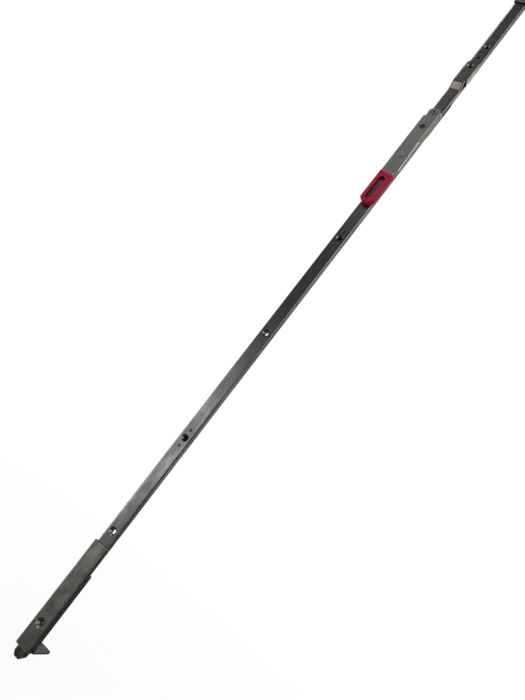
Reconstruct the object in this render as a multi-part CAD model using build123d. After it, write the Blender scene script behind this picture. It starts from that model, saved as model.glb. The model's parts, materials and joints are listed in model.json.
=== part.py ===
"""Lever-operated espagnolette for the passive leaf of a French window.

It stands as it is fitted on the leaf's edge: +Z runs up the bar, the visible face
looks along -Y, and the drive rods and the screws go back along +Y into the wood.
The origin is the fixing-screw hole just below the lever, in the plane of the
faceplate's rear face. The bolts are thrown and the lever hangs down over the face.
"""
from build123d import *
import math
import os

os.makedirs("parts", exist_ok=True)

# Driving dimensions, in millimetres and degrees

# Faceplates
plate_width = 16.0
plate_thickness = 3.0
plate_edge_width = 2.4
plate_edge_depth = 1.2

# Fixing screws, measured between the hole centres
screw_hole = 5.2
screw_head = 9.0
screw_pitch = 150.0
first_screw_pitch = 121.0
upper_screw_from_joint = 45.0

# Joggled end, where the main faceplate laps over the upper one
pivot_height = 218.0
ramp_start_from_pivot = 49.5
ramp_length = 12.0
joggle_rise = 5.0
joggle_length = 47.5
joggle_bend_radius = 9.0
joggle_corner_cut = 1.6
joint_screw_inset = 7.5
cheek_thickness = 1.5
cheek_bend_radius = 1.2
cheek_below_face = 4.0
cheek_slant = 3.0
lap_length = 35.0
window_length = 4.4
window_width = 3.2
window_from_joint = 23.1

# Drive rods
rod_width = 15.8
rod_thickness = 3.2
rod_edge_radius = 0.8
rod_clearance = 1.2
slide_gap = 0.2
side_gap = 0.2
end_gap = 0.5
fit_gap = 0.05
hook_stem_width = 5.0
hook_stem_length = 4.5
hook_head_width = 9.0
hook_head_length = 4.5
hook_from_joint_screw = 16.5
clip_plate_width = 11.0
clip_plate_length = 9.0
clip_plate_thickness = 1.2
clip_plate_from_hook = 5.6

# Guide blocks in the slots of the rods
guide_width = 7.8
guide_length = 28.0
guide_flange_width = 11.0
guide_flange_length = 32.0
guide_flange_thickness = 1.2
guide_web = 0.4
guide_rivet = 2.8
guide_rivet_spacing = 20.0
guide_rivet_rim = 0.5
guide_rivet_sink = 0.4
guide_rivet_dimple = 1.6
guide_rivet_dimple_floor = 0.8
guide_rivet_dimple_depth = 0.4

# Rack and pinion
gear_module = 0.7
pinion_teeth = 12
pressure_angle = 20.0
tooth_addendum = 0.42
tooth_dedendum = 0.56
tooth_backlash = 0.12
flank_steps = 3
rack_reach = 7.0
lever_swing = 150.0
cover_length = 60.0
cover_width = 15.0
cover_thickness = 1.2
cover_post = 5.0
cover_post_tenon = 3.4
cover_post_tenon_depth = 1.8
cover_post_gap = 0.8

# Shaft of the lever
shaft_journal = 8.0
shaft_tenon = 7.0
shaft_rear = 5.0
shaft_flat = 4.2
shaft_head = 8.6
shaft_head_height = 0.5
shaft_head_edge = 0.35
shaft_crater = 6.4
shaft_crater_depth = 1.3
shaft_crater_floor = 2.4
running_gap = 0.05
spacer_diameter = 13.0
spacer_thickness = 2.1
ring_diameter = 9.0
ring_thickness = 0.7
ring_groove = 4.0
ring_mouth = 3.2
shaft_overhang = 0.5

# Lever
arm_width = 15.4
arm_thickness = 2.2
arm_end_cut = 3.0
arm_edge_chamfer = 0.4
eye_radius = 8.3
lever_plate_width = 18.0
lever_plate_thickness = 2.1
lever_plate_top = 9.5
lever_plate_corner = 1.5
lever_plate_edge_chamfer = 0.35
lever_plate_slant = 4.0
lever_joint = 112.3
lever_joint_slant = 7.0
lever_rivet_upper = 29.0
lever_rivet_lower = 79.0
lever_rivet_shank = 4.0
upper_rivet_head = 8.0
upper_rivet_recess = 1.5
lower_rivet_head = 8.8
lower_rivet_head_height = 0.7
lower_rivet_head_edge = 0.6
lip_radius = 2.4
lip_drop = 0.7
lip_start = 53.0
lip_end = 106.5
lip_slant = 1.4
lip_lower_taper = 6.0
lip_upper_taper = 3.5
lip_notch = 1.2
lip_notch_depth = 1.3

# Grip on the lever
grip_width = 20.0
grip_length = 51.2
grip_skin_front = 0.5
grip_skin_back = 3.1
grip_left_cut_width = 7.0
grip_left_cut_height = 6.4
grip_tip_slope = 1.2
grip_right_cut_width = 5.0
grip_right_cut_height = 5.6
grip_corner_radius = 2.4
grip_edge_radius = 1.9
grip_slot_length = 38.0
grip_slot_width = 9.2
grip_slot_from_joint = 26.2
grip_rim_width = 2.0
grip_rim_height = 0.8
grip_rim_edge = 0.56
grip_tip_wall = 6.0

# Bolt housings
housing_length = 121.5
housing_width = 20.0
housing_rise = 2.8
housing_skirt = 1.2
housing_edge_radius = 2.2
housing_shoulder_radius = 1.2
housing_end_radius = 0.6
housing_plate_lap = 30.5
housing_shallow_length = 31.5
housing_roof = 2.4
housing_box_wall = 2.3
housing_screw_hole = 5.4
housing_screw_head = 10.5
housing_screw_inset = 28.5
housing_boss = 7.6
housing_stud = 5.0
housing_stud_depth = 1.3
housing_stud_inset = 10.0
housing_stud_spacing = 12.0
housing_lug_length = 5.0
housing_lug_inset = 9.0
lower_housing_from_screw = 16.5
upper_housing_from_screw = 91.5

# Shoot bolts
bolt_width = 12.6
bolt_gap = 0.15
bolt_throw = 11.0
bolt_nose_straight = 6.0
bolt_tip_width = 5.0
bolt_tip_bevel = 1.6
bolt_edge_chamfer = 0.5
bolt_notch_width = 1.6
bolt_notch_depth = 1.2
bolt_tongue_length = 18.5
bolt_rivet = 4.0
bolt_rivet_spacing = 9.5

# Corner brackets
bracket_thickness = 1.8
bracket_foot_reach = 35.5
bracket_corner_radius = 3.5
bracket_screw_hole = 4.5
bracket_screw_inset = 7.7
bracket_screw_offset = 2.5
bracket_leg_inset = 1.5

# How far a cut runs past the face that it leaves
overcut = 1.0

# Layers from the front of the faceplate to the back, along Y
face_front = -plate_thickness
rod_front = rod_clearance
rod_back = rod_front + rod_thickness
keeper_front = rod_back + slide_gap
guide_back = keeper_front + guide_flange_thickness
cover_back = keeper_front + cover_thickness
bracket_back = keeper_front + bracket_thickness
housing_front = face_front - housing_rise
housing_skirt_back = face_front + housing_skirt
channel_front = housing_front + housing_roof
bolt_front = channel_front + slide_gap
platform_front = face_front - joggle_rise
platform_back = platform_front + plate_thickness
cheek_back = face_front + cheek_below_face
arm_back = face_front - running_gap - spacer_thickness
arm_front = arm_back - arm_thickness
lever_plate_front = arm_front - lever_plate_thickness
grip_front = lever_plate_front - grip_skin_front
grip_back = arm_front + grip_skin_back

# Heights along the bar
hole_4 = 0.0
hole_3 = hole_4 - screw_pitch
hole_2 = hole_3 - screw_pitch
hole_1 = hole_2 - first_screw_pitch
lower_shoulder = hole_1 - lower_housing_from_screw
ramp_start = pivot_height + ramp_start_from_pivot
ramp_end = ramp_start + ramp_length
joggle_end = ramp_start + joggle_length
joint_screw = joggle_end - joint_screw_inset
window = joint_screw + window_from_joint
hole_5 = joint_screw + upper_screw_from_joint
upper_shoulder = hole_5 + upper_housing_from_screw
upper_plate_start = joggle_end - lap_length
main_plate_end = lower_shoulder - housing_plate_lap
upper_plate_end = upper_shoulder + housing_plate_lap
lever_joint_height = pivot_height - lever_joint
grip_tip = lever_joint_height - grip_length
arm_end = grip_tip + grip_tip_wall

# Travel of the rods for the full swing of the lever
pitch_radius = gear_module * pinion_teeth / 2
travel = pitch_radius * math.radians(lever_swing)
tooth_pitch = math.pi * gear_module

# Widths and places in the gear
rack_root = pitch_radius + tooth_dedendum
rack_tip = pitch_radius - tooth_addendum
rack_shoulder = 2 * travel + rack_reach + 2 * end_gap
cover_post_place = pitch_radius + tooth_addendum + cover_post_gap + cover_post / 2
cheek_outer = plate_width / 2 + end_gap / 2 + cheek_thickness
cheek_inner = cheek_outer - cheek_thickness
hook_start = joint_screw + hook_from_joint_screw
hook_end = hook_start + hook_stem_length + hook_head_length

# Places in a bolt housing, measured from its shoulder towards its end
housing_screw = housing_length - housing_screw_inset
channel_half = bolt_width / 2 + bolt_gap
box_half = channel_half + housing_box_wall
tongue_start = housing_plate_lap + travel + 2 * end_gap
bolt_body_start = tongue_start + bolt_tongue_length
bolt_tip = housing_length + bolt_throw


def slab(outline, front, back):
    """Plate of a given X and Z outline between two depths along Y."""
    return extrude(Plane.XZ.offset(-back) * outline, back - front)


def block(width, front, back, low, high, x=0.0):
    """Rectangular plate centred on x, between two depths and two heights."""
    outline = Pos(x, (low + high) / 2) * Rectangle(width, high - low)
    return slab(outline, front, back)


def along_y(diameter, front, back, z=0.0, x=0.0):
    """Round bar or hole along Y."""
    return slab(Pos(x, z) * Circle(diameter / 2), front, back)


def bore(diameter, front, back, z=0.0, x=0.0):
    """Round cut along Y that runs past both faces."""
    return along_y(diameter, front - overcut, back + overcut, z, x)


def cone_y(front_diameter, back_diameter, front, back, z=0.0, x=0.0):
    """Cone along Y with its first diameter at the front."""
    cone = Cone(back_diameter / 2, front_diameter / 2, back - front)
    return Pos(x, (front + back) / 2, z) * Rot(90, 0, 0) * cone


def countersunk_hole(hole, head, front, back, z, x=0.0):
    """Through hole with a right-angled countersink at the front."""
    depth = (head - hole) / 2
    return bore(hole, front, back, z, x) + cone_y(head, hole, front, front + depth, z, x)


def slot_y(width, low, high, front, back, x=0.0):
    """Slot along Z with round ends, cut past both faces along Y."""
    outline = Pos(x, (low + high) / 2) * SlotOverall(high - low, width, rotation=90)
    return slab(outline, front - overcut, back + overcut)


def front_edges(shape, depth, along):
    """Edges of a plate that lie at a depth and run along an axis."""
    edges = shape.edges().filter_by(along)
    return edges.filter_by(lambda e: abs(e.center().Y - depth) < 0.01)


def plate_section():
    """Cross-section of a faceplate, rear at Y zero, its front edges drawn down in arcs."""
    half = plate_width / 2
    flat = half - plate_edge_width
    side = face_front + plate_edge_depth
    outline = Polyline((-half, side), (-half, 0), (half, 0), (half, side))
    outline += TangentArc((flat, face_front), (half, side), tangent=(1, 0))
    outline += Line((flat, face_front), (-flat, face_front))
    outline += TangentArc((-flat, face_front), (-half, side), tangent=(-1, 0))
    return make_face(outline)


def strip(low, high):
    """Straight length of faceplate between two heights."""
    return extrude(Plane.XY.offset(low) * plate_section(), high - low)


def guide_rivet_holes(z):
    """The two rivet holes of a guide block, with a sunk rim at the face."""
    rim = guide_rivet + 2 * guide_rivet_rim
    holes = [
        countersunk_hole(guide_rivet, rim, face_front, guide_back, z + side * guide_rivet_spacing / 2)
        for side in (-1, 1)
    ]
    return holes[0] + holes[1]


def joggle():
    """Lapped end of the main faceplate: it bends out to the raised platform."""
    low = pivot_height + eye_radius
    rear = FilletPolyline(
        (0, 0, low),
        (0, 0, ramp_start),
        (0, platform_back, ramp_end),
        (0, platform_back, joggle_end),
        radius=joggle_bend_radius,
    )
    bent = sweep(Plane.XY.offset(low) * plate_section(), path=rear)
    corners = bent.edges().filter_by(Axis.Y).sort_by(Axis.Z)[-2:]
    return chamfer(corners, joggle_corner_cut)


def cheek():
    """Side flange of the platform, bent down past the lap."""
    outline = Polyline(
        (platform_front, ramp_end + cheek_slant),
        (platform_front, joggle_end),
        (cheek_back, joggle_end),
        (cheek_back, ramp_end),
        close=True,
    )
    flange = extrude(Plane.YZ.offset(cheek_inner) * make_face(outline), cheek_thickness)
    flat = plate_width / 2 - plate_edge_width
    bridge = block(
        cheek_outer - flat, platform_front, platform_back,
        ramp_end + cheek_slant, joggle_end, (cheek_outer + flat) / 2,
    )
    bent = flange + bridge
    bend = [
        edge for edge in front_edges(bent, platform_front, Axis.Z)
        if abs(edge.center().X - cheek_outer) < 0.01
    ]
    return fillet(bend, cheek_bend_radius)


def main_faceplate():
    """Long faceplate, from the lower bolt housing to the lapped end."""
    bar = strip(main_plate_end, pivot_height + eye_radius) + joggle() + cheek()
    for z in (hole_1, hole_2, hole_3, hole_4):
        bar -= countersunk_hole(screw_hole, screw_head, face_front, 0, z)
    bar -= countersunk_hole(screw_hole, screw_head, platform_front, platform_back, joint_screw)
    for z in (hole_2, hole_4):
        bar -= guide_rivet_holes(z)
    bar -= bore(shaft_journal + 2 * running_gap, face_front, 0, pivot_height)
    for place in cover_post_places():
        bar -= along_y(cover_post_tenon, -cover_post_tenon_depth, overcut, place)
    for stud in housing_stud_places():
        bar -= bore(housing_stud, face_front, 0, lower_shoulder - stud)
    return bar


def upper_faceplate():
    """Upper faceplate, from under the lap to the upper bolt housing."""
    bar = strip(upper_plate_start, upper_plate_end)
    bar -= bore(screw_hole, face_front, 0, joint_screw)
    bar -= countersunk_hole(screw_hole, screw_head, face_front, 0, hole_5)
    bar -= guide_rivet_holes(hole_5)
    low = window - window_length / 2
    bar -= block(window_width, face_front - overcut, overcut, low, low + window_length)
    for stud in housing_stud_places():
        bar -= bore(housing_stud, face_front, 0, upper_shoulder + stud)
    return bar


def joint_spacer():
    """Packing plate between the two faceplates at the lap."""
    low = max(upper_plate_start, ramp_end) + joggle_bend_radius
    plate = block(rod_width, platform_back, face_front, low, joggle_end - end_gap)
    return plate - bore(screw_hole, platform_back, face_front, joint_screw)


def rod_guide(z):
    """Guide block that the rod's slot runs on. Its screw hole ends in a thin web."""
    boss = slab(Pos(0, z) * SlotOverall(guide_length, guide_width, rotation=90), 0, keeper_front)
    flange = SlotOverall(guide_flange_length, guide_flange_width, rotation=90)
    body = boss + slab(Pos(0, z) * flange, keeper_front, guide_back)
    return body - along_y(screw_hole, -overcut, guide_back - guide_web, z) - guide_rivet_holes(z)


def guide_rivets(z):
    """The two rivets of a guide block, their dimpled ends sunk a little below the face."""
    pair = []
    for side in (-1, 1):
        place = z + side * guide_rivet_spacing / 2
        front = face_front + guide_rivet_sink
        dimple = cone_y(
            guide_rivet_dimple, guide_rivet_dimple_floor,
            front, front + guide_rivet_dimple_depth, place,
        )
        pair.append(along_y(guide_rivet, front, guide_back, place) - dimple)
    return pair


def cover_post_places():
    """Heights of the two posts that carry the gear's cover."""
    return [pivot_height - cover_post_place, pivot_height + cover_post_place]


def gear_cover():
    """Plate that holds the racks and the pinion against the faceplate."""
    half = cover_length / 2
    body = block(cover_width, keeper_front, cover_back, pivot_height - half, pivot_height + half)
    for place in cover_post_places():
        body -= bore(cover_post_tenon, keeper_front, cover_back, place)
    return body - bore(shaft_rear + 2 * running_gap, keeper_front, cover_back, pivot_height)


def cover_posts():
    """The two shouldered posts between the faceplate and the gear's cover."""
    return [
        along_y(cover_post_tenon, -cover_post_tenon_depth, 0, place)
        + along_y(cover_post, 0, keeper_front, place)
        + along_y(cover_post_tenon, keeper_front, cover_back, place)
        for place in cover_post_places()
    ]


def tooth_flank():
    """Points on one flank of a pinion tooth, as radius and half angle."""
    angle = math.radians(pressure_angle)
    base = pitch_radius * math.cos(angle)
    half = math.pi / (2 * pinion_teeth) - tooth_backlash / (2 * pitch_radius)
    at_pitch = math.tan(angle) - angle
    tip = pitch_radius + tooth_addendum
    flank = []
    for step in range(flank_steps + 1):
        radius = base + (tip - base) * step / flank_steps
        local = math.acos(base / radius)
        flank.append((radius, half + at_pitch - (math.tan(local) - local)))
    return [(pitch_radius - tooth_dedendum, flank[0][1])] + flank


def drive_pinion():
    """Pinion with one tooth pointing straight at each rack."""
    flank = tooth_flank()
    points = []
    for tooth in range(pinion_teeth):
        middle = 2 * math.pi * tooth / pinion_teeth
        for side, course in ((-1, flank), (1, flank[::-1])):
            for radius, half in course:
                turn = middle + side * half
                points.append((radius * math.cos(turn), radius * math.sin(turn)))
    wheel = Pos(0, pivot_height) * make_face(Polyline(*points, close=True))
    return slab(wheel, rod_front, rod_back) - shaft_seat(rod_front - overcut, rod_back + overcut)


def shaft_seat(front, back):
    """Round seat with two flats that carries the pinion."""
    seat = along_y(shaft_rear, front, back, pivot_height)
    flats = block(shaft_flat, front, back, pivot_height - shaft_rear, pivot_height + shaft_rear)
    return seat & flats


def rack_teeth(count_low, count_high):
    """Teeth of the lower rod's rack, which stand inwards from its web."""
    slope = math.tan(math.radians(pressure_angle))
    half = tooth_pitch / 4 - tooth_backlash / 2
    tip_half = half - tooth_addendum * slope
    root_half = half + tooth_dedendum * slope
    teeth = []
    for count in range(count_low, count_high + 1):
        z = pivot_height + (count + 0.5) * tooth_pitch
        points = [
            (rack_root, z - root_half),
            (rack_tip, z - tip_half),
            (rack_tip, z + tip_half),
            (rack_root, z + root_half),
        ]
        teeth.append(slab(make_face(Polyline(*points, close=True)), rod_front, rod_back))
    return teeth


def rack_end():
    """Rack end of the lower rod, from its shoulder up past the pinion."""
    web = rod_width / 2 - rack_root
    low = pivot_height - rack_shoulder - overcut
    high = pivot_height + rack_reach
    body = rod_bar(low, high) & block(web, rod_front, rod_back, low, high, rack_root + web / 2)
    first = -math.ceil((travel + rack_reach) / tooth_pitch)
    last = math.floor(rack_reach / tooth_pitch - 1)
    for tooth in rack_teeth(first, last):
        body += tooth
    return body


def turned_about_pivot(shape):
    """The same shape on the other side of the pinion."""
    return Pos(0, 0, pivot_height) * Rot(0, 180, 0) * Pos(0, 0, -pivot_height) * shape


def rod_bar(low, high):
    """Length of rolled rod between two heights, with rounded edges."""
    section = Pos(0, (rod_front + rod_back) / 2) * RectangleRounded(
        rod_width, rod_thickness, rod_edge_radius,
    )
    return extrude(Plane.XY.offset(low) * section, high - low)


def rod_slot(z, half, width, moves):
    """Slot of a rod around something fixed, long enough for the travel."""
    low = z - half - side_gap - (travel if moves > 0 else 0)
    high = z + half + side_gap + (travel if moves < 0 else 0)
    return slot_y(width + 2 * side_gap, low, high, rod_front, rod_back)


def rod_tail(shoulder, side):
    """Narrow end of a rod inside a bolt housing, side -1 below and 1 above."""
    near = shoulder + side * (housing_shallow_length - end_gap)
    far = shoulder + side * bolt_body_start
    tail = block(bolt_width, rod_front, rod_back, min(near, far), max(near, far))
    for rivet in bolt_rivet_places():
        tail -= bore(bolt_rivet, rod_front, rod_back, shoulder + side * rivet)
    return tail


def lower_drive_rod():
    """Lower rod, from the rack down to the lower shoot bolt."""
    low = lower_shoulder - housing_shallow_length + end_gap
    body = rod_bar(low, pivot_height - rack_shoulder) + rack_end() + rod_tail(lower_shoulder, -1)
    for z in (hole_1, hole_3):
        body -= rod_slot(z, screw_hole / 2, screw_hole, 1)
    for z in (hole_2, hole_4):
        body -= rod_slot(z, guide_length / 2, guide_width, 1)
    return body


def hook():
    """Hook that joins the two lengths of the upper rod."""
    stem_top = hook_start + hook_stem_length
    stem = block(hook_stem_width, rod_front, rod_back, hook_start, stem_top)
    return stem + block(hook_head_width, rod_front, rod_back, stem_top, hook_end)


def clip_plate():
    """Plastic clip sunk over the hook, which keeps it from coming apart."""
    middle = hook_start + clip_plate_from_hook
    half = clip_plate_length / 2
    return block(
        clip_plate_width, rod_front, rod_front + clip_plate_thickness, middle - half, middle + half,
    )


def upper_rack_rod():
    """Short upper rod, from the rack up to the hook joint."""
    body = rod_bar(pivot_height + rack_shoulder, hook_start) + turned_about_pivot(rack_end())
    body = body + hook() - clip_plate()
    return body - rod_slot(joint_screw, screw_hole / 2, screw_hole, -1)


def upper_extension_rod():
    """Long upper rod, from the hook joint up to the upper shoot bolt."""
    high = upper_shoulder + housing_shallow_length - end_gap
    body = rod_bar(hook_start, high) + rod_tail(upper_shoulder, 1)
    body = body - hook() - clip_plate()
    return body - rod_slot(hole_5, guide_length / 2, guide_width, -1)


def bolt_rivet_places():
    """Places of the two rivets that hold a shoot bolt on its rod."""
    middle = tongue_start + bolt_tongue_length / 2
    return [middle - bolt_rivet_spacing / 2, middle + bolt_rivet_spacing / 2]


def housing_stud_places():
    """Places of the two studs that hold a housing on its faceplate."""
    return [housing_stud_inset, housing_stud_inset + housing_stud_spacing]


def shoot_bolt():
    """Shoot bolt below a shoulder at height zero, thrown out to its full reach."""
    body = block(bolt_width, bolt_front, rod_back, -bolt_tip, -bolt_body_start)
    tongue = block(bolt_width, bolt_front, rod_front, -bolt_body_start, -tongue_start)
    body = body + tongue
    knee = -housing_length - bolt_nose_straight
    for side in (-1, 1):
        points = [
            (side * bolt_width, knee),
            (side * bolt_width / 2, knee),
            (side * bolt_tip_width / 2, -bolt_tip),
            (side * bolt_width, -bolt_tip),
        ]
        outline = make_face(Polyline(*points, close=True))
        body -= slab(outline, bolt_front - overcut, rod_back + overcut)
    rim = body.faces().sort_by(Axis.Z)[0].edges().filter_by(Axis.X)
    body = chamfer(rim, bolt_tip_bevel)
    body = chamfer(front_edges(body, bolt_front, Axis.Z), bolt_edge_chamfer)
    notch_top = -bolt_tip + bolt_notch_depth
    body -= block(
        bolt_notch_width, bolt_front - overcut, rod_back + overcut, -bolt_tip - overcut, notch_top,
    )
    half = housing_boss / 2 + side_gap
    low = -housing_screw - half - travel
    body -= slot_y(2 * half, low, -housing_screw + half, bolt_front, rod_back)
    for rivet in bolt_rivet_places():
        body -= bore(bolt_rivet, bolt_front, rod_front, -rivet)
    return body


def bolt_rivets():
    """The two flush rivets that hold a shoot bolt on its rod."""
    return [along_y(bolt_rivet, bolt_front, rod_back, -place) for place in bolt_rivet_places()]


def housing_lugs():
    """Lugs of a housing's side walls that hold the bracket's leg."""
    x = (box_half + channel_half) / 2
    first = housing_shallow_length + bracket_leg_inset + housing_lug_inset
    last = housing_length - housing_lug_inset - housing_lug_length
    return [
        block(
            housing_box_wall, keeper_front, bracket_back,
            -place - housing_lug_length, -place, side * x,
        )
        for side in (-1, 1) for place in (first, last)
    ]


def bolt_housing():
    """Cast housing of a shoot bolt, below a shoulder at height zero."""
    body = block(housing_width, housing_front, housing_skirt_back, -housing_length, 0)
    body = fillet(front_edges(body, housing_front, Axis.Z), housing_edge_radius)
    shoulder = [
        edge for edge in body.faces().sort_by(Axis.Z)[-1].edges()
        if edge.center().Y < housing_front + housing_edge_radius
    ]
    body = fillet(shoulder, housing_shoulder_radius)
    end = [
        edge for edge in body.faces().sort_by(Axis.Z)[0].edges()
        if edge.center().Y < housing_front + housing_edge_radius
    ]
    body = fillet(end, housing_end_radius)
    body += block(
        2 * box_half, housing_skirt_back - housing_skirt, keeper_front,
        -housing_length, -housing_shallow_length,
    )
    pocket_half = plate_width / 2 + fit_gap
    body -= block(2 * pocket_half, face_front, overcut, -housing_shallow_length, overcut)
    body -= block(
        2 * channel_half, channel_front, keeper_front + overcut,
        -housing_length - overcut, -housing_plate_lap,
    )
    boss = along_y(housing_boss, channel_front, keeper_front, -housing_screw)
    body = body + boss
    for lug in housing_lugs():
        body += lug
    for stud in housing_stud_places():
        body -= along_y(housing_stud, face_front - housing_stud_depth, overcut, -stud)
    return body - countersunk_hole(
        housing_screw_hole, housing_screw_head, housing_front, keeper_front, -housing_screw,
    )


def housing_studs():
    """The two studs that hold a housing on its faceplate."""
    front = face_front - housing_stud_depth
    return [along_y(housing_stud, front, 0, -place) for place in housing_stud_places()]


def corner_bracket():
    """Angle bracket that closes the housing's back and turns under the leaf."""
    top = -housing_shallow_length - bracket_leg_inset
    leg = block(2 * box_half, keeper_front, bracket_back, -housing_length, top)
    foot = Box(housing_width, bracket_foot_reach - keeper_front, bracket_thickness)
    foot = Pos(
        0, (bracket_foot_reach + keeper_front) / 2, -housing_length + bracket_thickness / 2,
    ) * foot
    corners = foot.edges().filter_by(Axis.Z).sort_by(Axis.Y)[-2:]
    foot = fillet(corners, bracket_corner_radius)
    body = leg + foot
    for lug in housing_lugs():
        body -= lug
    body -= bore(housing_screw_hole, keeper_front, bracket_back, -housing_screw)
    hole = Cylinder(bracket_screw_hole / 2, 3 * bracket_thickness)
    place = bracket_foot_reach - bracket_screw_inset
    return body - Pos(-bracket_screw_offset, place, -housing_length) * hole


def arm_outline():
    """Outline of the lever's lower strip: round eye, straight sides and cut corners."""
    outline = Pos(0, (arm_end + pivot_height) / 2) * Rectangle(arm_width, pivot_height - arm_end)
    outline = chamfer(outline.vertices().sort_by(Axis.Y)[:2], arm_end_cut)
    return outline + Pos(0, pivot_height) * Circle(eye_radius)


def lever_arm():
    """Lower strip of the lever, from the eye on the shaft down into the grip."""
    body = slab(arm_outline(), arm_front, arm_back)
    body = chamfer(body.faces().sort_by(Axis.Y)[0].edges(), arm_edge_chamfer)
    body -= bore(shaft_tenon, arm_front, arm_back, pivot_height)
    for place in (lever_rivet_upper, lever_rivet_lower):
        body -= bore(lever_rivet_shank, arm_front, arm_back, pivot_height - place)
    return body


def finger_lip():
    """Turned-down lip on the lever's leading edge, a little out of line with it."""
    edge = lever_plate_width / 2
    centre_y = lever_plate_front + lip_radius
    inner = lip_radius - lever_plate_thickness
    section = Pos(edge, centre_y) * (Circle(lip_radius) - Circle(inner))
    section &= Pos(edge + lip_radius / 2, centre_y - lip_radius / 2) * Rectangle(lip_radius, lip_radius)
    section += Pos(edge + lip_radius - lever_plate_thickness / 2, centre_y + lip_drop / 2) * Rectangle(
        lever_plate_thickness, lip_drop,
    )
    section += Pos(edge - lip_radius / 2, (lever_plate_front + arm_front) / 2) * Rectangle(
        lip_radius, lever_plate_thickness,
    )
    low = pivot_height - lip_end
    high = pivot_height - lip_start
    lip = extrude(Plane.XY.offset(low) * section, high - low)
    turn = Pos(edge, 0, low) * Rot(0, -lip_slant, 0) * Pos(-edge, 0, -low)
    lip = turn * lip
    reach = edge + lip_radius + overcut
    side = make_face(Polyline(
        (edge - lip_radius / 2, low),
        (edge, low),
        (reach, low + lip_lower_taper),
        (reach, high - lip_upper_taper),
        (edge, high),
        (edge - lip_radius / 2, high),
        close=True,
    ))
    return lip & slab(side, lever_plate_front - overcut, centre_y + lip_drop + overcut)


def lip_notches():
    """Relief notches of the lever plate at the two ends of the lip."""
    edge = lever_plate_width / 2
    return [
        block(
            2 * lip_notch_depth, lever_plate_front - overcut, arm_front + overcut,
            low, low + lip_notch, edge,
        )
        for low in (pivot_height - lip_end - lip_notch, pivot_height - lip_start)
    ]


def lever_joint_line(margin):
    """Heights of the slanted grip joint at the left and right of the lever."""
    half = lever_plate_width / 2 + margin
    rise = half * math.tan(math.radians(lever_joint_slant))
    return half, lever_joint_height + rise, lever_joint_height - rise


def grip_slot(margin, front, back):
    """Finger slot of the grip, widened all round by a margin."""
    z = lever_joint_height - grip_slot_from_joint
    length = grip_slot_length + 2 * margin
    outline = Pos(0, z) * SlotOverall(length, grip_slot_width + 2 * margin, rotation=90)
    return slab(outline, front, back)


def lever_plate():
    """Upper plate of the lever, from below the eye to the grip, with the finger lip."""
    top = pivot_height - lever_plate_top
    half, left, right = lever_joint_line(0)
    rise = half * math.tan(math.radians(lever_plate_slant))
    outline = make_face(Polyline(
        (-half, top - rise), (half, top + rise), (half, right), (-half, left), close=True,
    ))
    outline = fillet(outline.vertices().sort_by(Axis.Y)[-2:], lever_plate_corner)
    body = slab(outline, lever_plate_front, arm_front)
    free = body.faces().sort_by(Axis.Y)[0].edges().sort_by(Axis.Z)[1:]
    body = chamfer(free, lever_plate_edge_chamfer) + finger_lip()
    for notch in lip_notches():
        body -= notch
    upper = pivot_height - lever_rivet_upper
    lower = pivot_height - lever_rivet_lower
    body -= bore(upper_rivet_head, lever_plate_front, arm_front, upper)
    body -= bore(lever_rivet_shank, lever_plate_front, arm_front, lower)
    return body


def lever_rivets():
    """Sunk upper rivet and round-headed lower rivet of the lever."""
    upper = pivot_height - lever_rivet_upper
    lower = pivot_height - lever_rivet_lower
    sunk = along_y(upper_rivet_head, lever_plate_front + upper_rivet_recess, arm_front, upper)
    sunk += along_y(lever_rivet_shank, arm_front, arm_back, upper)
    head = along_y(
        lower_rivet_head, lever_plate_front - lower_rivet_head_height, lever_plate_front, lower,
    )
    head = fillet(head.faces().sort_by(Axis.Y)[0].edges(), lower_rivet_head_edge)
    domed = head + along_y(lever_rivet_shank, lever_plate_front, arm_back, lower)
    return [sunk, domed]


def lever_grip():
    """Moulded grip on the end of the arm, with its finger slot and raised rim."""
    half, left, right = lever_joint_line((grip_width - lever_plate_width) / 2)
    tip_right = grip_tip + grip_tip_slope
    outline = make_face(Polyline(
        (-half, left),
        (half, right),
        (half, tip_right + grip_right_cut_height),
        (half - grip_right_cut_width, tip_right),
        (-half + grip_left_cut_width, grip_tip),
        (-half, grip_tip + grip_left_cut_height),
        close=True,
    ))
    outline = fillet(outline.vertices().sort_by(Axis.Y)[:4], grip_corner_radius)
    body = slab(outline, grip_front, grip_back)
    outer = body.faces().sort_by(Axis.Y)[0].edges().sort_by(Axis.Z)[:-1]
    body = fillet(outer, grip_edge_radius)
    rim_front = grip_front - grip_rim_height
    rim = grip_slot(grip_rim_width, rim_front, lever_plate_front)
    body += fillet(rim.faces().sort_by(Axis.Y)[0].edges(), grip_rim_edge)
    body -= grip_slot(0, rim_front - overcut, arm_front)
    return body - slab(arm_outline(), arm_front, arm_back)


def lever_spacer():
    """Ring that keeps the lever's eye off the faceplate."""
    back = face_front - running_gap
    ring = along_y(spacer_diameter, arm_back, back, pivot_height)
    return ring - bore(shaft_journal, arm_back, back, pivot_height)


def lever_shaft():
    """Shaft from the lever's eye through the faceplate and the gear's cover."""
    head_front = arm_front - shaft_head_height
    body = along_y(shaft_head, head_front, arm_front, pivot_height)
    body = fillet(body.faces().sort_by(Axis.Y)[0].edges(), shaft_head_edge)
    body += along_y(shaft_tenon, arm_front, arm_back, pivot_height)
    body += along_y(shaft_journal, arm_back, rod_front, pivot_height)
    body += shaft_seat(rod_front, rod_back)
    ring_front = cover_back + slide_gap
    ring_back = ring_front + ring_thickness
    body += along_y(shaft_rear, rod_back, ring_front, pivot_height)
    body += along_y(ring_groove, ring_front, ring_back, pivot_height)
    body += along_y(shaft_rear, ring_back, ring_back + shaft_overhang, pivot_height)
    crater = cone_y(
        shaft_crater, shaft_crater_floor,
        head_front, head_front + shaft_crater_depth, pivot_height,
    )
    return body - crater


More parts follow.
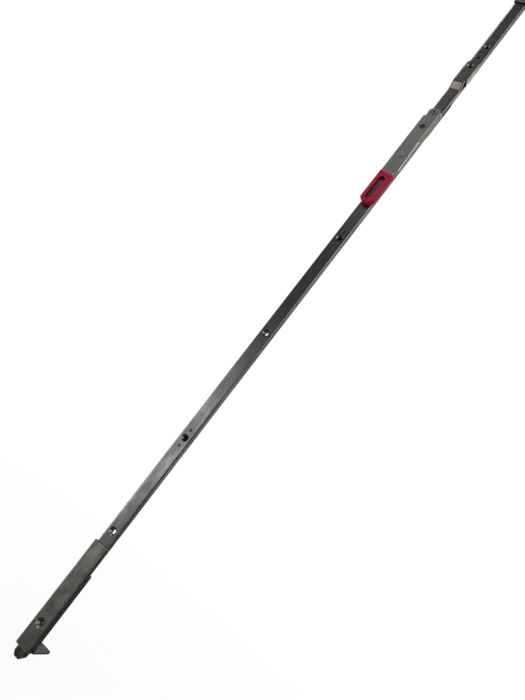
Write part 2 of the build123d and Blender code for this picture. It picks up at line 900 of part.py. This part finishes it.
def retaining_ring():
    """Spring ring in the groove at the shaft's rear end."""
    front = cover_back + slide_gap
    back = front + ring_thickness
    ring = along_y(ring_diameter, front, back, pivot_height)
    ring -= bore(ring_groove, front, back, pivot_height)
    return ring - block(
        ring_mouth, front - overcut, back + overcut, pivot_height - ring_diameter, pivot_height,
    )


def at_lower_end(shape):
    """Place of a bolt-end piece at the lower end of the bar."""
    return Pos(0, 0, lower_shoulder) * shape


def at_upper_end(shape):
    """Mirrored place of a bolt-end piece at the upper end of the bar."""
    return Pos(0, 0, upper_shoulder) * mirror(shape, about=Plane.XY)


def save(name, *solids):
    """Write one node: a solid, or a group of separate like solids."""
    shape = solids[0] if len(solids) == 1 else Compound(children=list(solids))
    export_step(shape, f"parts/{name}.step")


save("main_faceplate", main_faceplate())
save("upper_faceplate", upper_faceplate())
save("joint_spacer", joint_spacer())
save("lower_rod_guide", rod_guide(hole_2))
save("middle_rod_guide", rod_guide(hole_4))
save("upper_rod_guide", rod_guide(hole_5))
save("guide_rivets", *guide_rivets(hole_2), *guide_rivets(hole_4), *guide_rivets(hole_5))
save("gear_cover", gear_cover())
save("cover_posts", *cover_posts())
for name, place in (("lower", at_lower_end), ("upper", at_upper_end)):
    save(f"{name}_bolt_housing", place(bolt_housing()))
    save(f"{name}_corner_bracket", place(corner_bracket()))
    save(f"{name}_housing_studs", *[place(stud) for stud in housing_studs()])
    save(f"{name}_shoot_bolt", place(shoot_bolt()))
    save(f"{name}_bolt_rivets", *[place(rivet) for rivet in bolt_rivets()])
save("lower_drive_rod", lower_drive_rod())
save("upper_rack_rod", upper_rack_rod())
save("upper_extension_rod", upper_extension_rod())
save("coupling_clip", clip_plate())
save("lever_arm", lever_arm())
save("lever_plate", lever_plate())
save("lever_grip", lever_grip())
save("lever_rivets", *lever_rivets())
save("lever_spacer", lever_spacer())
save("lever_shaft", lever_shaft())
save("drive_pinion", drive_pinion())
save("retaining_ring", retaining_ring())
print(f"travel {travel:.2f} mm, height {upper_shoulder - lower_shoulder + 2 * bolt_tip:.1f} mm")
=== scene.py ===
from collections import namedtuple
import json
import math

import bpy
from mathutils import Matrix, Vector


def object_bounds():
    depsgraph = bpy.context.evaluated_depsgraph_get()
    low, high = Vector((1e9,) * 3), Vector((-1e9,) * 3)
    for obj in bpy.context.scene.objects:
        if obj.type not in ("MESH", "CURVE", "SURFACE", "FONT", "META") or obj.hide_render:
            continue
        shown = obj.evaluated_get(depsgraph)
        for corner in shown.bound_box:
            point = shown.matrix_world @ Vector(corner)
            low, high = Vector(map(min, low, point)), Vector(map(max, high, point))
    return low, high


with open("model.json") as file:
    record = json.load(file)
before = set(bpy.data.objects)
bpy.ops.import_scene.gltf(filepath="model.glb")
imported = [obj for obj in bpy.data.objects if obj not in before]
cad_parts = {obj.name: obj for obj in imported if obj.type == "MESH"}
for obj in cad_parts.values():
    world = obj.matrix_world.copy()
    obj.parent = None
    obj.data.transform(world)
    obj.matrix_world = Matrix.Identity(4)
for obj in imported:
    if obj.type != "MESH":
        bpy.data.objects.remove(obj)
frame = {"nodes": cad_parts, "record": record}
cad_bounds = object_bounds()
nodes = frame["nodes"]

# Camera of the photograph in metres, and where its picture's right and down point
camera_place = Vector((0.3095, -0.5780, -0.3199))
camera_right = Vector((0.7669, 0.2444, 0.5934))
camera_down = Vector((0.4576, 0.4401, -0.7726))
camera_range = (0.01, 50.0)

# Lens and sensor width in millimetres
camera_lens = 30.1
camera_sensor = 36.0

# Floor, just below the bar's lower end
floor_gap = 0.0015
floor_radius = 4.0
floor_sides = 96

# The floor glows white over most of its shade: distances from the bar's foot, and shares there
glow_distances = (0.1, 1.2)
glow_shares = (0.93, 1.0)

# Light levels, where 1 is white: even light, and what metal mirrors between the lamps
white = (1.0, 1.0, 1.0)
even_light = (0.35, 0.35, 0.35)
dark_studio = (0.057, 0.0594, 0.0624)
warm_light = (1.0, 0.96, 0.90)

# Lamps stand so far off that the whole bar sees each at nearly the same angle
lamp_distance = 20.0

# From the top of the lever's eye down to the grip; below the grip, its red is painted on the arm
# as a reflection
grip_from_eye_top = 0.119
red_fade = 0.001

# Height over which the two rivets' finishes change, half-way between them
rivet_fade = 0.001

# The joggle's ramp, which is stained brown, and how far the stain fades out
ramp_heights = (0.268, 0.284)
ramp_fade = 0.010

# The castings' colour darkens outwards as painted shade, from one distance above or below the
# origin to the other
casting_reach = (0.44, 0.56)

# Widths of worn edges, which also carry a painted highlight
steel_edge = 0.0004
plastic_edge = 0.0008
cast_edge = 0.0012

# How far painted shade reaches out of a corner
close_shade_reach = 0.0012
strip_shade_reach = 0.0014
cast_shade_reach = 0.0022
plastic_shade_reach = 0.0025
lever_shade_reach = 0.003
arm_shade_reach = 0.007

# Cosine of an edge's turn where its wear and painted highlight start, and where they are full
edge_turn_for_wear_and_highlight = (0.995, 0.88)

# Open share of a corner's view where its painted shade starts, and where it is full
corner_shade_openness = (0.75, 0.25)

# Base colours, linear
faceplate_colour = (0.39, 0.395, 0.38)
faceplate_dark = (0.19, 0.19, 0.185)
lever_colour = (0.56, 0.56, 0.55)
lever_dark = (0.40, 0.40, 0.40)
inner_colour = (0.42, 0.41, 0.38)
inner_dark = (0.24, 0.23, 0.21)
cast_colour = (0.43, 0.415, 0.39)
cast_dark = (0.17, 0.16, 0.15)
# Near-black painted shade for the castings' side walls
cast_side_shade = (0.07, 0.066, 0.06)
bracket_colour = (0.20, 0.185, 0.17)
bracket_dark = (0.09, 0.08, 0.075)
bolt_colour = (0.30, 0.28, 0.255)
bolt_dark = (0.09, 0.08, 0.075)
red_colour = (0.29, 0.005, 0.025)
red_dark = (0.21, 0.003, 0.018)
# Painted highlight on the grip's edges
red_highlight_colour = (0.66, 0.09, 0.13)
# Painted reflection of the red grip on the lever arm
painted_red_reflection_colour = (0.26, 0.16, 0.175)
black_colour = (0.022, 0.022, 0.022)
black_light = (0.045, 0.044, 0.042)
tan_colour = (0.36, 0.22, 0.11)
tan_dark = (0.22, 0.13, 0.06)
rivet_dark = (0.19, 0.20, 0.24)
shaft_colour = (0.32, 0.34, 0.39)
shaft_dark = (0.20, 0.21, 0.26)
blued_colour = (0.24, 0.27, 0.31)
# Bare steel of scratches and worn edges, and the painted highlight along edges
bare_and_highlit_edge_colour = (0.62, 0.61, 0.59)
# Rubbed zinc on cast edges, mostly a painted highlight line
rubbed_and_highlit_colour = (0.86, 0.84, 0.81)
stain_colour = (0.30, 0.225, 0.17)
# Near-black: painted shade in corners, and the colour of cast pits and of the guide rivets' dark
# tone
near_black_shade_colour = (0.012, 0.011, 0.010)
floor_colour = (0.84, 0.84, 0.83)
floor_dark = (0.80, 0.80, 0.79)

# A stain, or a painted reflection, on a band of heights, which fades out above and below it
StainOrPaintedReflection = namedtuple("StainOrPaintedReflection", "low high fade share colour")


def make_camera():
    """Camera at the photograph's place, with its right and down directions."""
    right = camera_right.normalized()
    down = (camera_down - right * camera_down.dot(right)).normalized()
    back = right.cross(-down)
    data = bpy.data.cameras.new("camera")
    data.lens = camera_lens
    data.sensor_width = camera_sensor
    data.clip_start, data.clip_end = camera_range
    camera = bpy.data.objects.new("camera", data)
    turn = Matrix((right, -down, back)).transposed().to_4x4()
    camera.matrix_world = Matrix.Translation(camera_place) @ turn
    bpy.context.scene.collection.objects.link(camera)
    bpy.context.scene.camera = camera


class NodeTree:
    """A node tree, with short calls for the nodes that it is made of."""

    def __init__(self, tree):
        self.tree = tree

    def node(self, kind, inputs=(), **settings):
        """New node, with its settings and with values or sockets for its inputs."""
        made = self.tree.nodes.new(kind)
        for name, value in settings.items():
            setattr(made, name, value)
        for key, value in dict(inputs).items():
            if isinstance(value, bpy.types.NodeSocket):
                self.tree.links.new(value, made.inputs[key])
            elif value is not None:
                made.inputs[key].default_value = value
        return made

    def blend(self, share, first, second):
        """Colour between two colours, by a share from 0 to 1."""
        colours = [c if isinstance(c, bpy.types.NodeSocket) else (*c, 1) for c in (first, second)]
        return self.node("ShaderNodeMix", {
            0: share, 6: colours[0], 7: colours[1],
        }, data_type="RGBA").outputs[2]


class Look(NodeTree):
    """A node material, made of textures in the object's own frame, in metres."""

    def __init__(self, name, metallic, **sockets):
        self.material = bpy.data.materials.new(name)
        self.material.use_nodes = True
        super().__init__(self.material.node_tree)
        self.shader = self.tree.nodes["Principled BSDF"]
        self.shader.inputs["Metallic"].default_value = metallic
        for socket, value in sockets.items():
            self.shader.inputs[socket.replace("_", " ")].default_value = value
        own_frame = self.node("ShaderNodeTexCoord").outputs
        self.place = own_frame["Object"]
        self.normal = own_frame["Normal"]

    def maths(self, operation, first, second=None):
        """One sum, product or other operation on two values."""
        return self.node("ShaderNodeMath", {0: first, 1: second}, operation=operation).outputs[0]

    def spread(self, value, low, high, to_low=0.0, to_high=1.0):
        """A value mapped from one range to another, and kept inside it."""
        return self.node("ShaderNodeMapRange", {
            0: value, 1: low, 2: high, 3: to_low, 4: to_high,
        }, clamp=True).outputs[0]

    def tint(self, tone, mask, share, colour):
        """The tone with a share of a colour where the mask is."""
        return self.blend(self.maths("MULTIPLY", mask, share), tone, colour)

    def points(self, along=1.0, angle=0.0):
        """Object coordinates, turned in the face's plane and then scaled along the bar."""
        turned = self.node(
            "ShaderNodeMapping", {"Vector": self.place, "Rotation": (0, math.radians(angle), 0)},
        )
        return self.node(
            "ShaderNodeMapping", {"Vector": turned.outputs[0], "Scale": (1, 1, along)},
        ).outputs[0]

    def noise(self, scale, detail=3.0, rough=0.55, along=1.0, angle=0.0):
        """Cloudy noise of a scale per metre, from 0 to 1. A small share along draws it out."""
        return self.node("ShaderNodeTexNoise", {
            "Vector": self.points(along, angle), "Scale": scale, "Detail": detail,
            "Roughness": rough,
        }).outputs[0]

    def pits(self, scale, bottom, rim):
        """Share of small pits: 1 near scattered points of a scale per metre, 0 between them."""
        near = self.node("ShaderNodeTexVoronoi", {"Vector": self.points(), "Scale": scale})
        return self.spread(near.outputs["Distance"], rim, bottom)

    def scratches(self, scale, angle, width, cover):
        """Thin broken lines, turned by an angle from the bar's length."""
        middle, gate_scale, gate_fade = 0.5, 110, 0.06
        lines = self.noise(scale, detail=1.0, along=0.02, angle=angle)
        off_middle = self.maths("ABSOLUTE", self.maths("SUBTRACT", lines, middle))
        thin = self.spread(off_middle, 0, width, 1, 0)
        gate = self.spread(
            self.noise(gate_scale, detail=2.0, angle=angle), cover, cover + gate_fade,
        )
        return self.maths("MULTIPLY", thin, gate)

    def edges(self, width):
        """Share of a worn edge with a painted highlight: 1 where the surface turns within a
        width.
        """
        rounded = self.node("ShaderNodeBevel", {"Radius": width}, samples=4).outputs[0]
        plain = self.node("ShaderNodeNewGeometry").outputs["Normal"]
        cosine = self.node(
            "ShaderNodeVectorMath", {0: rounded, 1: plain}, operation="DOT_PRODUCT",
        ).outputs["Value"]
        return self.spread(cosine, *edge_turn_for_wear_and_highlight)

    def painted_corner_shade(self, reach):
        """Share of painted corner shade: 1 where other surfaces close in within a reach."""
        open_share = self.node(
            "ShaderNodeAmbientOcclusion", {"Distance": reach}, samples=6,
        ).outputs["AO"]
        return self.spread(open_share, *corner_shade_openness)

    def height(self):
        """Height of the surface point in the object's own frame."""
        return self.node("ShaderNodeSeparateXYZ", {0: self.place}).outputs["Z"]

    def band(self, low, high, fade):
        """Share of a band of heights, which fades out above and below it."""
        above = self.spread(self.height(), low - fade, low)
        below = self.spread(self.height(), high + fade, high)
        return self.maths("MULTIPLY", above, below)

    def sideways(self):
        """How far the surface faces to either side of the bar, from 0 to 1."""
        across = self.node("ShaderNodeSeparateXYZ", {0: self.normal}).outputs["X"]
        return self.maths("ABSOLUTE", across)

    def finish(self, colour, roughness, relief=None, depth=0.0):
        """Join colour, roughness and a relief of a depth in metres to the shader."""
        self.tree.links.new(colour, self.shader.inputs["Base Color"])
        self.tree.links.new(roughness, self.shader.inputs["Roughness"])
        if relief is not None:
            bumped = self.node("ShaderNodeBump", {
                "Height": relief, "Distance": depth, "Strength": 1.0,
            })
            self.tree.links.new(bumped.outputs[0], self.shader.inputs["Normal"])
        return self.material


def drawn_metal(
    name, colour, dark, smooth, rough, worn_and_highlit_edge, streak=0.35, shade_reach=strip_shade_reach, stain_or_reflection=None,
):
    """Zinc-plated strip: clouds, drawing lines along the bar, scratches, worn edges with a
    painted highlight, painted shade in corners, and a band of stain or of painted reflection.
    """
    look = Look(name, 1.0)
    clouds = look.noise(60, detail=4.0, along=0.35)
    blued = look.noise(22, detail=1.0)
    mottle = look.noise(230, detail=5.0, rough=0.72, along=0.4)
    streaks = look.noise(380, detail=2.0, along=0.06)
    lines = look.noise(2600, rough=0.6, along=0.012)
    spots = look.spread(look.noise(420, detail=2.0, rough=0.6), 0.70, 0.76)
    cuts = look.maths(
        "MAXIMUM", look.scratches(900, 7, 0.012, 0.55), look.scratches(700, -24, 0.010, 0.60),
    )
    tone = look.blend(look.spread(clouds, 0.35, 0.68), dark, colour)
    tone = look.blend(look.spread(blued, 0.5, 0.75, 0.0, 0.35), tone, blued_colour)
    tone = look.blend(look.spread(mottle, 0.46, 0.60, 0.0, 1.4 * streak), tone, dark)
    tone = look.tint(tone, look.spread(streaks, 0.4, 0.75), streak, dark)
    tone = look.blend(look.spread(lines, 0.45, 0.7, 0.0, 0.2), tone, dark)
    tone = look.tint(tone, spots, 0.5, dark)
    tone = look.tint(tone, cuts, 0.45, bare_and_highlit_edge_colour)
    # Worn edges lightened, partly as a painted highlight
    tone = look.tint(tone, look.edges(steel_edge), worn_and_highlit_edge, bare_and_highlit_edge_colour)
    # A stain, or a painted reflection, over a band of heights
    if stain_or_reflection is not None:
        stain_or_reflection_share = look.band(stain_or_reflection.low, stain_or_reflection.high, stain_or_reflection.fade)
        tone = look.tint(tone, stain_or_reflection_share, stain_or_reflection.share, stain_or_reflection.colour)
    # Painted shade: corners and recesses darkened towards near-black
    tone = look.tint(tone, look.painted_corner_shade(shade_reach), 0.7, near_black_shade_colour)
    level = look.spread(clouds, 0.3, 0.7, rough, smooth)
    level = look.maths("ADD", level, look.spread(lines, 0.3, 0.7, -0.04, 0.04))
    level = look.maths("ADD", level, look.spread(mottle, 0.4, 0.65, -0.03, 0.05))
    relief = look.maths("SUBTRACT", lines, look.maths("MULTIPLY", cuts, 0.6))
    return look.finish(tone, level, relief, depth=0.000001)


def height_range(obj):
    """Lowest and highest point of an object in its own frame."""
    heights = [vertex.co.z for vertex in obj.data.vertices]
    return min(heights), max(heights)


def rivet_metal(name, obj):
    """Lever rivets: the sunk upper one is blued dark, the domed lower one is like the plate."""
    look = Look(name, 1.0)
    middle = sum(height_range(obj)) / 2
    upper = look.spread(look.height(), middle, middle + rivet_fade)
    clouds = look.noise(500)
    tone = look.blend(look.spread(clouds, 0.35, 0.65), lever_dark, lever_colour)
    tone = look.blend(upper, tone, rivet_dark)
    # Worn edges lightened, partly as a painted highlight
    tone = look.tint(tone, look.edges(steel_edge), 0.5, bare_and_highlit_edge_colour)
    # Painted shade in the rivets' corners
    tone = look.tint(tone, look.painted_corner_shade(close_shade_reach), 0.8, near_black_shade_colour)
    level = look.spread(clouds, 0.3, 0.7, 0.26, 0.36)
    return look.finish(tone, level, clouds, depth=0.000006)


def cast_metal(name, colour, dark, smooth, rough):
    """Die-cast zinc: flow clouds, fine pits, painted shade on the side walls and towards the
    ends, rubbed edges with a painted highlight, and painted shade in corners.
    """
    look = Look(name, 1.0)
    clouds = look.noise(110, detail=7.0, rough=0.68, along=0.5)
    flow = look.noise(260, detail=4.0, rough=0.6, along=0.4)
    grain = look.noise(3600, rough=0.65)
    pitted = look.spread(look.noise(330, detail=2.0), 0.5, 0.62)
    pits = look.maths("MULTIPLY", look.pits(2200, 0.05, 0.30), pitted)
    outwards = look.spread(look.maths("ABSOLUTE", look.height()), *casting_reach)
    tone = look.blend(look.spread(clouds, 0.36, 0.66), dark, colour)
    tone = look.blend(look.spread(flow, 0.45, 0.8, 0.0, 0.25), tone, colour)
    # Painted shade: darker towards the castings' outer ends
    tone = look.tint(tone, outwards, 0.6, dark)
    tone = look.tint(tone, pits, 0.7, near_black_shade_colour)
    # Painted shade: side walls darkened by the way they face
    tone = look.blend(look.spread(look.sideways(), 0.75, 0.95, 0.0, 0.85), tone, cast_side_shade)
    # Cast edges lightened at full share: partly rubbed wear, mostly a painted highlight
    tone = look.blend(look.edges(cast_edge), tone, rubbed_and_highlit_colour)
    # Painted shade in the casting's corners
    tone = look.tint(tone, look.painted_corner_shade(cast_shade_reach), 0.8, near_black_shade_colour)
    level = look.spread(look.maths("ADD", clouds, flow), 0.7, 1.3, rough, smooth)
    relief = look.maths("MULTIPLY", grain, 0.5)
    relief = look.maths("SUBTRACT", relief, look.maths("MULTIPLY", pits, 1.4))
    relief = look.maths("ADD", relief, look.maths("MULTIPLY", flow, 1.6))
    return look.finish(tone, level, relief, depth=0.000020)


def polished_metal(name, colour, dark, smooth, rough):
    """Bright plated bolt steel: sliding marks along the bar and dark smears."""
    look = Look(name, 1.0)
    smears = look.noise(160, detail=5.0, rough=0.6, along=0.25)
    lines = look.noise(3800, rough=0.7, along=0.01)
    tone = look.blend(look.spread(smears, 0.38, 0.62), dark, colour)
    # Worn edges lightened, partly as a painted highlight
    tone = look.tint(tone, look.edges(steel_edge), 0.8, bare_and_highlit_edge_colour)
    # Painted shade in the bolt's corners
    tone = look.tint(tone, look.painted_corner_shade(close_shade_reach), 0.8, near_black_shade_colour)
    level = look.spread(smears, 0.3, 0.7, rough, smooth)
    level = look.maths("ADD", level, look.spread(lines, 0.35, 0.7, -0.04, 0.06))
    return look.finish(tone, level, lines, depth=0.000006)


def moulded_plastic(
    name, colour, second, smooth, rough, depth, shade_share=0.75, edge_highlight_colour=None, **sockets,
):
    """Moulded plastic: faint colour clouds, fine grain, scuffs, a painted highlight on edges when
    given, and painted shade in the corners.
    """
    look = Look(name, 0.0, **sockets)
    clouds = look.noise(120, detail=4.0)
    grain = look.noise(700, detail=2.0)
    scuffs = look.maths(
        "MAXIMUM", look.scratches(1100, 35, 0.010, 0.56), look.scratches(900, -50, 0.010, 0.58),
    )
    tone = look.blend(look.spread(clouds, 0.35, 0.7), second, colour)
    if edge_highlight_colour is not None:
        # Painted highlight: edges lightened towards a colour when one is given
        tone = look.tint(tone, look.edges(plastic_edge), 0.7, edge_highlight_colour)
    # Painted shade in the plastic's corners
    tone = look.tint(tone, look.painted_corner_shade(plastic_shade_reach), shade_share, near_black_shade_colour)
    level = look.spread(clouds, 0.3, 0.7, smooth, rough)
    level = look.maths("ADD", level, look.maths("MULTIPLY", scuffs, 0.18))
    relief = look.maths("SUBTRACT", grain, look.maths("MULTIPLY", scuffs, 0.6))
    return look.finish(tone, level, relief, depth)


def slot_looks():
    """Finishes of the record's material slots."""
    return {
        "faceplate_steel": drawn_metal(
            "faceplate_steel", faceplate_colour, faceplate_dark,
            smooth=0.19, rough=0.30, worn_and_highlit_edge=0.4, streak=0.5,
            stain_or_reflection=StainOrPaintedReflection(*ramp_heights, ramp_fade, share=0.55, colour=stain_colour),
        ),
        "lever_steel": drawn_metal(
            "lever_steel", lever_colour, lever_dark,
            smooth=0.26, rough=0.36, worn_and_highlit_edge=0.4, streak=0.2, shade_reach=lever_shade_reach,
        ),
        "inner_steel": drawn_metal(
            "inner_steel", inner_colour, inner_dark, smooth=0.26, rough=0.40, worn_and_highlit_edge=0.3,
        ),
        "cast_zinc": cast_metal("cast_zinc", cast_colour, cast_dark, smooth=0.32, rough=0.48),
        "bracket_steel": drawn_metal(
            "bracket_steel", bracket_colour, bracket_dark, smooth=0.30, rough=0.45, worn_and_highlit_edge=0.5,
        ),
        "bolt_steel": polished_metal(
            "bolt_steel", bolt_colour, bolt_dark, smooth=0.10, rough=0.28,
        ),
        "red_plastic": moulded_plastic(
            "red_plastic", red_colour, red_dark, smooth=0.11, rough=0.17, depth=0.000003,
            shade_share=0.12, edge_highlight_colour=red_highlight_colour, Specular_IOR_Level=0.2, Coat_Weight=0.04,
        ),
        "black_plastic": moulded_plastic(
            "black_plastic", black_colour, black_light, smooth=0.35, rough=0.55, depth=0.000015,
        ),
        "tan_plastic": moulded_plastic(
            "tan_plastic", tan_colour, tan_dark, smooth=0.35, rough=0.55, depth=0.000012,
        ),
    }


def own_looks():
    """Finishes of single nodes that differ from their slot's."""
    arm_low, arm_high = height_range(nodes["lever_arm"])
    # Painted reflection of the red grip on the arm below it
    painted_red_reflection = StainOrPaintedReflection(
        arm_low, arm_high - grip_from_eye_top, red_fade, share=1.0, colour=painted_red_reflection_colour,
    )
    return {
        "guide_rivets": drawn_metal(
            "guide_rivet_steel", rivet_dark, near_black_shade_colour, smooth=0.26, rough=0.36, worn_and_highlit_edge=0.2,
        ),
        "lever_shaft": drawn_metal(
            "lever_shaft_steel", shaft_colour, shaft_dark, smooth=0.22, rough=0.32, worn_and_highlit_edge=0.6,
        ),
        "lever_rivets": rivet_metal("lever_rivet_steel", nodes["lever_rivets"]),
        "lever_arm": drawn_metal(
            "lever_arm_steel", lever_colour, lever_dark,
            smooth=0.26, rough=0.36, worn_and_highlit_edge=0.4, streak=0.2, shade_reach=arm_shade_reach,
            stain_or_reflection=painted_red_reflection,
        ),
    }


def dress():
    """Give every node its own finish, or that of its material slot."""
    slots = {part["node"]: part["material_slot"] for part in frame["record"]["subparts"]}
    by_slot = slot_looks()
    by_node = own_looks()
    for name, obj in nodes.items():
        obj.data.materials.clear()
        obj.data.materials.append(by_node.get(name, by_slot[slots[name]]))


def make_floor():
    """Pale floor just under the standing bar. It looks white, and keeps the shadow."""
    low = cad_bounds[0][2] - floor_gap
    bpy.ops.mesh.primitive_circle_add(
        vertices=floor_sides, radius=floor_radius, fill_type="NGON", location=(0, 0, low),
    )
    floor = bpy.context.object
    floor.name = "floor"
    look = Look("floor", 0.0)
    speckle = look.noise(14, detail=4.0)
    tone = look.blend(look.spread(speckle, 0.3, 0.7), floor_dark, floor_colour)
    look.finish(tone, look.spread(speckle, 0.3, 0.7, 0.85, 0.95))
    glow = look.node("ShaderNodeEmission", {"Color": (*white, 1), "Strength": 1.0})
    rays = look.node("ShaderNodeLightPath").outputs["Is Camera Ray"]
    distance = look.node(
        "ShaderNodeVectorMath", {0: look.place}, operation="LENGTH",
    ).outputs["Value"]
    share = look.maths("MULTIPLY", rays, look.spread(distance, *glow_distances, *glow_shares))
    both = look.node("ShaderNodeMixShader", {
        0: share, 1: look.shader.outputs[0], 2: glow.outputs[0],
    })
    out = look.tree.nodes["Material Output"]
    look.tree.links.new(both.outputs[0], out.inputs["Surface"])
    floor.data.materials.append(look.material)
    floor.visible_glossy = False
    floor.visible_shadow = False


def make_world():
    """White for the camera, soft even light, and a dark studio for what metal reflects."""
    world = bpy.data.worlds.new("world")
    bpy.context.scene.world = world
    world.use_nodes = True
    world.node_tree.nodes.clear()
    sky = NodeTree(world.node_tree)
    rays = sky.node("ShaderNodeLightPath").outputs
    light = sky.blend(rays["Is Glossy Ray"], even_light, dark_studio)
    light = sky.blend(rays["Is Camera Ray"], light, white)
    background = sky.node("ShaderNodeBackground", {"Color": light})
    sky.node("ShaderNodeOutputWorld", {0: background.outputs[0]})


def make_lamp(name, across, up, width, height, level, colour=white, mirrored=True):
    """Far soft oblong lamp with its own brightness.

    Its place is given by two angles in degrees: across from straight in front of the
    visible face towards the side that the lever swings to, and up. Its width and height
    are the angles that it fills."""
    turn, rise = math.radians(across), math.radians(up)
    aim = Vector((
        math.sin(turn) * math.cos(rise), -math.cos(turn) * math.cos(rise), math.sin(rise),
    ))
    data = bpy.data.lights.new(name, "AREA")
    data.shape = "RECTANGLE"
    data.size = 2 * lamp_distance * math.tan(math.radians(width / 2))
    data.size_y = 2 * lamp_distance * math.tan(math.radians(height / 2))
    data.energy = level * math.pi * data.size * data.size_y
    data.color = colour
    lamp = bpy.data.objects.new(name, data)
    facing = (-aim).to_track_quat("-Z", "Y").to_matrix().to_4x4()
    lamp.matrix_world = Matrix.Translation(aim * lamp_distance) @ facing
    lamp.visible_glossy = mirrored
    lamp.visible_camera = False
    bpy.context.scene.collection.objects.link(lamp)


def make_lamps():
    """The studio's lamps: across, up, width, height and level of each."""
    make_lamp("face_lamp", -15, 0, 46, 16.5, 1.05)
    make_lamp("left_edge_lamp", -47, 0, 18, 17, 2.4)
    make_lamp("left_backdrop", -97, -8, 76, 30, 1.3)
    make_lamp("lever_lamp", -26, 33, 26, 6, 0.52, warm_light)
    make_lamp("upper_front_lamp", -28, 43, 26, 10, 0.17)
    make_lamp("low_front_lamp", -28, -22, 26, 16, 0.15, warm_light)
    make_lamp("foot_lamp", -152, 20, 30, 30, 0.4)
    make_lamp("rear_lamp", -168, -12, 50, 44, 0.35)
    make_lamp("low_back_lamp", 152, 1, 46, 15, 0.6)
    make_lamp("high_back_lamp", 152, 25, 46, 30, 0.14, warm_light)
    make_lamp("cheek_lamp", 152, 43.5, 40, 6, 1.5, warm_light)
    make_lamp("right_lamp", 77, 29, 70, 36, 1.3, warm_light)
    make_lamp("high_right_lamp", 45, 54, 14, 16, 1.6)
    make_lamp("low_right_lamp", 41, -16, 14, 10, 2.0)
    make_lamp("top_lamp", -68, 52, 16, 16, 3.6)
    make_lamp("fill_lamp", 22, 20, 50, 50, 1.6, mirrored=False)


make_camera()
make_floor()
make_world()
make_lamps()
dress()

bpy.context.scene.view_settings.view_transform = "Standard"
